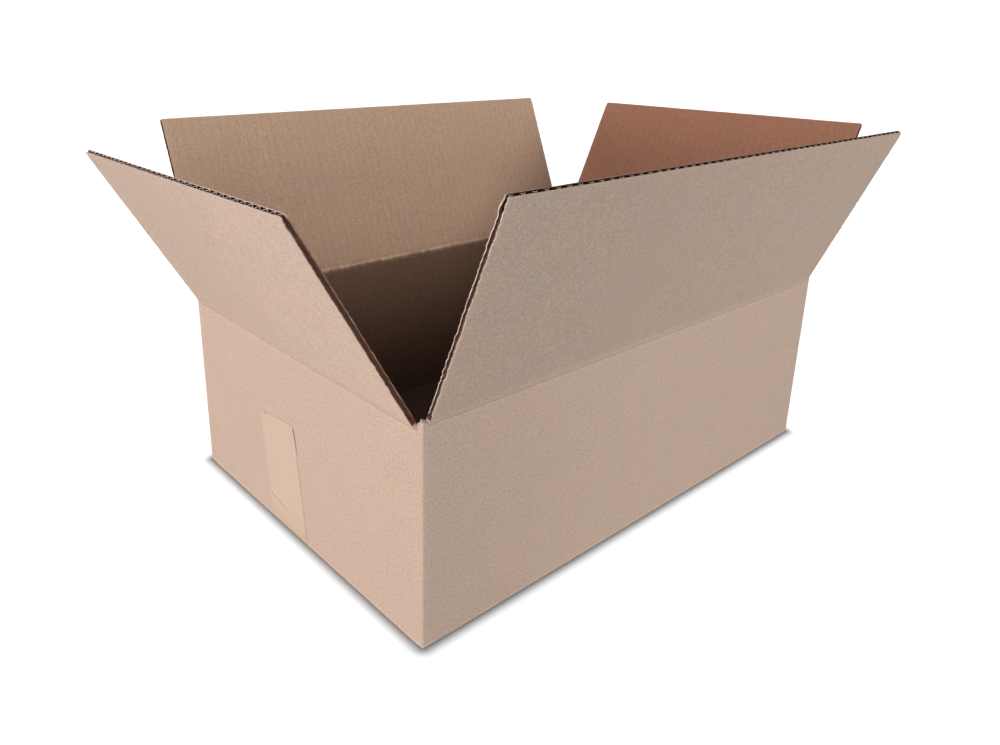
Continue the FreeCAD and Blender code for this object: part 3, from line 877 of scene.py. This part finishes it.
class Graph:
    """A tree of nodes, in which one method adds any node."""

    def __init__(self, tree):
        self.tree = tree
        self.tree.nodes.clear()

    def feed(self, socket, value):
        """Link a socket, or set its value."""
        if isinstance(value, Socket):
            self.tree.links.new(value.output, socket)
        elif socket.type == "VECTOR" and isinstance(value, (int, float)):
            socket.default_value = (value, value, value)
        elif socket.type == "RGBA" and len(value) == 3:
            socket.default_value = (*value, 1.0)
        else:
            socket.default_value = value

    def add(self, kind, settings=None, inputs=None, output=0):
        """Add a node: its settings come first, then its sockets. Returns one output."""
        node = self.tree.nodes.new(kind)
        for name, value in (settings or {}).items():
            if name == "stops":
                for number, (place, shade) in enumerate(value):
                    ramp = node.color_ramp.elements
                    stop = ramp[number] if number < 2 else ramp.new(place)
                    stop.position = place
                    stop.color = (shade, shade, shade, 1.0)
            else:
                setattr(node, name, value)
        for name, value in (inputs or {}).items():
            self.feed(node.inputs[name], value)
        return Socket(self, node.outputs[output]) if node.outputs else None

    def step(self, value, low, high, start=0.0, end=1.0):
        """Go smoothly from start to end as the value goes from low to high."""
        return self.add(
            "ShaderNodeMapRange", {"interpolation_type": "SMOOTHSTEP"},
            {0: value, 1: low, 2: high, 3: start, 4: end},
        )

    def mix(self, share, first, second):
        """Go from the first colour to the second."""
        return self.add("ShaderNodeMix", {"data_type": "RGBA"}, {0: share, 6: first, 7: second}, 2)

    def noise(self, place, scale, detail=2.0, roughness=0.5):
        """Soft noise about zero, from -0.5 to 0.5."""
        inputs = {"Vector": place, "Scale": scale, "Detail": detail, "Roughness": roughness}
        return self.add("ShaderNodeTexNoise", None, inputs) - 0.5

    def attribute(self, name, output="Vector"):
        """Read a piece's own attribute."""
        settings = {"attribute_type": "GEOMETRY", "attribute_name": name}
        return self.add("ShaderNodeAttribute", settings, None, output)

    def scaled(self, vector, factor):
        """A vector or colour times one number."""
        return self.add("ShaderNodeVectorMath", {"operation": "SCALE"}, {0: vector, "Scale": factor})

    def seen(self):
        """One for camera, mirror and glass rays, and zero for the rest."""
        camera, glossy, glass = (
            self.add("ShaderNodeLightPath", None, None, f"Is {kind} Ray")
            for kind in ("Camera", "Glossy", "Transmission")
        )
        rays = camera + glossy + glass
        return self.add("ShaderNodeMath", {"operation": "MINIMUM"}, {0: rays, 1: 1.0})

    def part(self, vector, axis):
        """One part of a vector."""
        return self.add("ShaderNodeSeparateXYZ", None, {0: vector}, axis)


def new_material(name):
    """An empty material and its graph."""
    material = bpy.data.materials.new(name)
    material.use_nodes = True
    return material, Graph(material.node_tree)


def finish_material(graph, constants, inputs):
    """Add the shader with its constants and its varying sockets, and the output."""
    shader = graph.add("ShaderNodeBsdfPrincipled", None, {**constants, **inputs})
    graph.add("ShaderNodeOutputMaterial", None, {"Surface": shader})


def kraft_paper(name, colour, depth, flute_bands_and_shading, streaks, painted_score_light, corner_shade):
    """Kraft paper: faint clouds in two tints, mottles and short fibres that lie across the
    flutes, faint bands over the flutes that are partly glue lines and partly painted shading
    of the washboard, a few dark specks, and paler edges where wear is positive,
    for worn paper and painted highlights; where it is negative, painted shade darkens it.
    Above the score it has its colour, times painted_score_light at the score, a painted light.
    Below, on the walls, it has the depth's colour, a painted shade, darker downward and
    towards one corner, unless that is the same colour: then painted light and shade vary
    along the sheet."""
    material, graph = new_material(name)
    sheet = graph.attribute("sheet")
    wear = graph.attribute("wear", "Fac")
    spread = sheet * (1.0, 1.0, 40.0)
    clouds = graph.noise(spread, 22.0, 3.0)
    patches = graph.noise(spread + (3.1, 0.0, 0.0), 55.0, 2.0)
    tint = graph.noise(spread + (0.0, 7.7, 0.0), 30.0, 2.0)
    fibres = graph.noise(spread * (1.0, 4.5, 1.0), 420.0, 2.0, 0.6)
    hairs = graph.noise(spread * (3.5, 1.0, 1.0) + (0.0, 0.0, 5.0), 240.0, 1.0)
    mottle = graph.noise(spread + (1.0, 2.0, 3.0), 640.0, 1.0)
    grain = graph.noise(spread, 1300.0, 1.0)
    s = graph.part(sheet, 0)
    turn = 2 * math.pi / bpy.context.scene.carton_sizes.pitch
    wave = graph.add("ShaderNodeMath", {"operation": "COSINE"}, {0: s * turn})
    level = 1.0 + clouds * 0.06 + patches * 0.05 + fibres * 0.26 + hairs * 0.14 * streaks
    # The bands over the flutes: partly glue lines, partly painted shading of the washboard
    level = level + mottle * 0.5 + grain * 0.45 + wave * flute_bands_and_shading
    height = graph.part(sheet, 1)
    # Painted light: the paper is brighter near the score
    level = level * graph.step(height, 0.0, 0.09, painted_score_light, 1.0)
    # Painted shade: negative wear darkens the paper, as along the score's line
    level = level * graph.step(wear, -1.0, 0.0, 0.6, 1.0)
    if depth == colour:
        # Painted light and shade along the sheet on the outside paper
        flap = graph.step(s, *FLAP_PAINTED_LIGHT[0]) + graph.step(s, *FLAP_PAINTED_LIGHT[1])
        wall = graph.step(s, *WALL_PAINTED_LIGHT[0]) + graph.step(s, *WALL_PAINTED_LIGHT[1])
        share = graph.step(height, 0.0, 0.01)
        level = level * (1.0 + flap * share + wall * (1.0 - share))
    cell = graph.add("ShaderNodeTexVoronoi", None, {"Vector": spread, "Scale": 95.0, "Randomness": 1.0})
    pick = graph.noise(spread, 60.0, 0.0)
    speck = graph.step(cell, 0.05, 0.02) * graph.step(pick, 0.17, 0.2)
    level = level * (1.0 - speck * 0.35)
    base = colour
    # Painted shade on the walls inside: the depth's darker colour below the score, darker still
    # downward and towards the back right corner
    if depth != colour:
        base = graph.mix(graph.step(height, -1.5 * MM, 0.5 * MM), depth, colour)
        level = level * graph.step(height, -0.15, 0.0, 0.36, 1.0)
        above = graph.add("ShaderNodeMath", {"operation": "MAXIMUM"}, {0: height, 1: 0.0})
        corner = graph.add("ShaderNodeMath", {"operation": "ABSOLUTE"}, {0: s - PAINTED_SHADE_CORNER})
        level = level * graph.step(corner + above * 1.3, 0.02, 0.19, corner_shade, 1.0)
    warm = graph.add("ShaderNodeVectorMath", {"operation": "MULTIPLY"}, {0: base, 1: WARM_TINT})
    cool = graph.add("ShaderNodeVectorMath", {"operation": "MULTIPLY"}, {0: base, 1: COOL_TINT})
    base = graph.mix(graph.step(tint, -0.2, 0.2), warm, cool)
    # Paler where wear is positive: worn and cut paper, and painted highlights at the folds and creases
    rub_and_highlight = wear * graph.step(graph.noise(spread, 160.0, 3.0), -0.25, 0.15)
    pale = tuple(min(1.0, part * (1.0 + 0.25 * streaks) + 0.03) for part in colour)
    base = graph.mix(rub_and_highlight * 0.75, base, pale)
    base = graph.scaled(base, level)
    relief = fibres * 0.5 + grain * 0.5 + hairs * 0.4 + wave * 0.3
    normal = graph.add(
        "ShaderNodeBump", None, {"Strength": 0.25, "Distance": 0.00012, "Height": relief},
    )
    roughness = 0.86 + fibres * 0.12
    finish_material(
        graph, {"Specular IOR Level": 0.12},
        {"Base Color": base, "Roughness": roughness, "Normal": normal},
    )
    return material


def core_paper(name, colour, torn):
    """Paper inside the board: darker and redder, with clouds and loose fibres, pale where it
    was cut (positive wear) and nearly black with painted shade in the flutes'
    mouths and at a bent corner (negative wear)."""
    material, graph = new_material(name)
    sheet = graph.attribute("sheet")
    wear = graph.attribute("wear", "Fac")
    fibres = graph.noise(sheet * (1.0, 0.4, 1.0), 900.0, 2.0)
    clouds = graph.noise(sheet, 160.0, 2.0)
    level = 1.0 + fibres * 0.5 + clouds * 0.5
    dark = tuple(part * 0.85 for part in colour)
    base = graph.mix(graph.step(clouds, -0.2, 0.2), colour, dark)
    base = graph.mix(graph.step(wear + clouds * 0.3, 0.4, 0.85), base, torn)
    # Painted shade: negative wear darkens the paper nearly to black
    level = level * graph.step(wear, -0.8, -0.1, 0.12, 1.0)
    base = graph.scaled(base, level)
    normal = graph.add(
        "ShaderNodeBump", None, {"Strength": 0.3, "Distance": 0.0001, "Height": fibres},
    )
    finish_material(
        graph, {"Specular IOR Level": 0.08},
        {"Base Color": base, "Roughness": 0.9 + fibres * 0.1, "Normal": normal},
    )
    return material


def cut_paper(name, colour):
    """Cut and torn edges of the papers: pale fuzz with darker gaps."""
    material, graph = new_material(name)
    place = graph.add("ShaderNodeTexCoord", None, None, "Object")
    fuzz = graph.noise(place, 1300.0, 2.0, 0.7)
    tufts = graph.noise(place, 330.0, 2.0)
    dirt = tuple(part * factor for part, factor in zip(colour, (0.62, 0.55, 0.5)))
    base = graph.mix(graph.step(tufts, 0.02, 0.24), colour, dirt)
    level = 1.0 + fuzz * 0.5
    base = graph.scaled(base, level)
    normal = graph.add(
        "ShaderNodeBump", None, {"Strength": 0.5, "Distance": 0.0002, "Height": fuzz + tufts},
    )
    finish_material(
        graph, {"Specular IOR Level": 0.08},
        {"Base Color": base, "Roughness": 0.92 + fuzz * 0.1, "Normal": normal},
    )
    return material


def tape_film(name, colour):
    """Packing tape: a beige film with a slight gloss, cloudy glue under it, faint stretch
    lines along the strip, and painted highlights and painted shade along its wrinkles, with
    a painted shadow under its lifted tip."""
    material, graph = new_material(name)
    sheet = graph.attribute("sheet")
    wear = graph.attribute("wear", "Fac")
    clouds = graph.noise(sheet, 60.0, 3.0)
    glue = graph.noise(sheet * (1.0, 0.35, 1.0), 260.0, 2.0)
    lines = graph.noise(sheet * (1.0, 0.03, 1.0), 900.0, 1.0)
    level = 1.0 + clouds * 0.10 + glue * 0.06 + lines * 0.05
    pale = tuple(min(1.0, part * 1.15 + 0.03) for part in colour)
    rosy = tuple(part * factor for part, factor in zip(colour, (0.98, 0.93, 0.95)))
    base = graph.mix(graph.step(clouds, -0.1, 0.25), colour, rosy)
    # Painted highlights where wear is positive and painted shade where it is negative
    base = graph.mix(graph.step(wear, 0.05, 1.0) * 0.6, base, pale)
    tape_shade = tuple(part * factor for part, factor in zip(colour, (0.66, 0.58, 0.45)))
    base = graph.mix(graph.step(wear, -0.05, -1.0), base, tape_shade)
    base = graph.scaled(base, level)
    normal = graph.add(
        "ShaderNodeBump", None,
        {"Strength": 0.3, "Distance": 0.0002, "Height": glue * 0.7 + clouds + lines * 0.3},
    )
    finish_material(
        graph, {"Specular IOR Level": 0.35},
        {"Base Color": base, "Roughness": 0.42 + glue * 0.2, "Normal": normal},
    )
    return material


def board_materials(side):
    """The four finishes of the board: outside, inside, core and cut edge."""
    colours = bpy.context.scene.carton_colours
    outside, depth = tuple(colours.outside), tuple(colours.depth)
    core, edge = tuple(colours.core), tuple(colours.edge)
    # Painted light near the score and painted shade towards the back right corner, as factors
    label, inside, painted_light_and_shade = "kraft_inside", tuple(colours.inside), (1.15, 0.42)
    # The right flap's inside has painted shade in its colour and more painted light near its score
    if side == "right":
        label, inside, painted_light_and_shade = "kraft_inside_right", tuple(colours.shaded_inside_right), (1.45, 1.0)
    ready = bpy.data.materials.get
    return [
        ready("kraft_outside") or kraft_paper("kraft_outside", outside, outside, 0.004, 0.6, 1.0, 1.0),
        ready(label) or kraft_paper(label, inside, depth, 0.022, 1.6, *painted_light_and_shade),
        ready("kraft_core") or core_paper("kraft_core", core, edge),
        ready("kraft_cut") or cut_paper("kraft_cut", edge),
    ]


class CARTON_OT_walls(bpy.types.Operator):
    """Fold the walls and the bottom of the carton"""

    bl_idname = "carton.walls"
    bl_label = "Carton walls"

    def execute(self, context):
        make_walls(context.scene.carton_sizes, board_materials("back"))
        return {"FINISHED"}


class CARTON_OT_flaps(bpy.types.Operator):
    """Make the four top flaps of corrugated board"""

    bl_idname = "carton.flaps"
    bl_label = "Top flaps"

    def execute(self, context):
        for name in SIDES:
            make_flap(name, context.scene.carton_sizes, board_materials(name))
        return {"FINISHED"}


class CARTON_OT_creases(bpy.types.Operator):
    """Make the four crushed scores that the top flaps bend at"""

    bl_idname = "carton.creases"
    bl_label = "Creases"

    def execute(self, context):
        for name in SIDES:
            make_crease(name, context.scene.carton_sizes, board_materials(name))
        return {"FINISHED"}


class CARTON_OT_tape(bpy.types.Operator):
    """Lay the tape along the bottom seam and up both ends"""

    bl_idname = "carton.tape"
    bl_label = "Bottom tape"

    def execute(self, context):
        colours = context.scene.carton_colours
        make_tape(context.scene.carton_sizes, [tape_film("tape_film", tuple(colours.tape))])
        return {"FINISHED"}


def make_floor(colour):
    """The pale floor. Camera, mirror and glass rays see it white, apart from the narrow
    shadow where the box stands; the object sees the light that it gives back."""
    material, graph = new_material("floor")
    low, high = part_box("carton_body")
    place = graph.add("ShaderNodeTexCoord", None, None, "Object")
    seen = graph.seen()
    away = graph.add("ShaderNodeVectorMath", {"operation": "ABSOLUTE"}, {0: place})
    away = away - (high[0] - SHADOW_CORNER, high[1] - SHADOW_CORNER, 0.0)
    away = graph.add("ShaderNodeVectorMath", {"operation": "MAXIMUM"}, {0: away, 1: (0, 0, 0)})
    distance = graph.add("ShaderNodeVectorMath", {"operation": "LENGTH"}, {0: away}, "Value")
    share = (distance - SHADOW_CORNER) / SHADOW_WIDTH
    lit = graph.add("ShaderNodeValToRGB", {"stops": CONTACT_SHADOW}, {0: share})
    shown = graph.mix(lit, SHADOW_TINT, WHITE) * lit
    glow = graph.mix(seen, FLOOR_BOUNCE, shown)
    emission = graph.add("ShaderNodeEmission", None, {"Color": glow, "Strength": 1.0})
    diffuse = graph.add("ShaderNodeBsdfDiffuse", None, {"Color": colour})
    both = graph.add("ShaderNodeAddShader", None, {0: emission, 1: diffuse})
    graph.add("ShaderNodeOutputMaterial", None, {"Surface": both})
    size, depth = 6.0, -0.15 * MM
    mesh = bpy.data.meshes.new("floor")
    corners = [(-size, -size, depth), (size, -size, depth), (size, size, depth), (-size, size, depth)]
    mesh.from_pydata(corners, [], [(0, 1, 2, 3)])
    mesh.materials.append(material)
    floor = bpy.data.objects.new("floor", mesh)
    bpy.context.scene.collection.objects.link(floor)


def make_sky():
    """Soft light from a ring of large white surfaces round the box, brightest on the left.
    Each entry fills one side of the sky, falling off as the square of the cosine, within a
    low or a middle band of heights. Camera, mirror and glass rays see plain white."""
    world = bpy.data.worlds.new("studio")
    world.use_nodes = True
    bpy.context.scene.world = world
    graph = Graph(world.node_tree)
    way = graph.add("ShaderNodeTexCoord", None, None, "Generated")
    height = graph.part(way, 2)
    bands = {
        "low": graph.step(height, 0.15, 0.40, 1.0, 0.0),
        "middle": graph.step(height, 0.15, 0.40) * graph.step(height, 0.45, 0.75, 1.0, 0.0),
    }
    top = graph.step(height, 0.45, 0.75)
    light = graph.scaled(SKY_TOP, top)
    for name, band, colour in SKY:
        facing = graph.add(
            "ShaderNodeVectorMath", {"operation": "DOT_PRODUCT"},
            {0: way, 1: tuple(OUTWARD[name])}, "Value",
        )
        facing = graph.add("ShaderNodeMath", {"operation": "MAXIMUM"}, {0: facing, 1: 0.0})
        share = facing * facing * bands[band]
        part = graph.scaled(colour, share)
        light = light + part
    seen = graph.seen()
    shown = graph.mix(seen, light, WHITE)
    background = graph.add("ShaderNodeBackground", None, {"Color": shown, "Strength": 1.0})
    graph.add("ShaderNodeOutputWorld", None, {"Surface": background})


def make_camera():
    """The camera at the photograph's place."""
    camera = bpy.data.cameras.new("camera")
    camera.lens = LENS
    camera.sensor_width = 36.0
    camera.shift_x, camera.shift_y = SHIFT
    camera.clip_start = 0.01
    camera.clip_end = 50.0
    camera.dof.use_dof = False
    rig = bpy.data.objects.new("camera", camera)
    rig.location = CAMERA_PLACE
    rig.rotation_euler = [math.radians(angle) for angle in CAMERA_TURN]
    bpy.context.scene.collection.objects.link(rig)
    bpy.context.scene.camera = rig


class CARTON_OT_stage(bpy.types.Operator):
    """Set up the floor, the light and the camera"""

    bl_idname = "carton.stage"
    bl_label = "Stage"

    def execute(self, context):
        make_floor(tuple(context.scene.carton_colours.floor))
        make_sky()
        make_camera()
        context.scene.view_settings.view_transform = "Standard"
        return {"FINISHED"}


class CARTON_PT_panel(bpy.types.Panel):
    """Lists the carton's sizes, colours and steps"""

    bl_idname = "CARTON_PT_panel"
    bl_label = "Carton"
    bl_space_type = "VIEW_3D"
    bl_region_type = "UI"
    bl_category = "Carton"

    def draw(self, context):
        for group in (context.scene.carton_sizes, context.scene.carton_colours):
            for name in group.bl_rna.properties.keys():
                if name not in ("rna_type", "name"):
                    self.layout.prop(group, name)
        for step in STEPS:
            self.layout.operator(step.bl_idname)


STEPS = (CARTON_OT_walls, CARTON_OT_flaps, CARTON_OT_creases, CARTON_OT_tape, CARTON_OT_stage)
CLASSES = (CartonSizes, CartonColours, *STEPS, CARTON_PT_panel)


def register():
    """Register the classes and keep the settings with the scene."""
    for item in CLASSES:
        bpy.utils.register_class(item)
    bpy.types.Scene.carton_sizes = bpy.props.PointerProperty(type=CartonSizes)
    bpy.types.Scene.carton_colours = bpy.props.PointerProperty(type=CartonColours)


def unregister():
    """Remove the settings and the classes."""
    del bpy.types.Scene.carton_colours
    del bpy.types.Scene.carton_sizes
    for item in reversed(CLASSES):
        bpy.utils.unregister_class(item)


def main():
    """Build every piece in order."""
    register()
    bpy.ops.carton.walls()
    bpy.ops.carton.flaps()
    bpy.ops.carton.creases()
    bpy.ops.carton.tape()
    bpy.ops.carton.stage()
    bpy.context.view_layer.update()


if __name__ == "__main__":
    main()
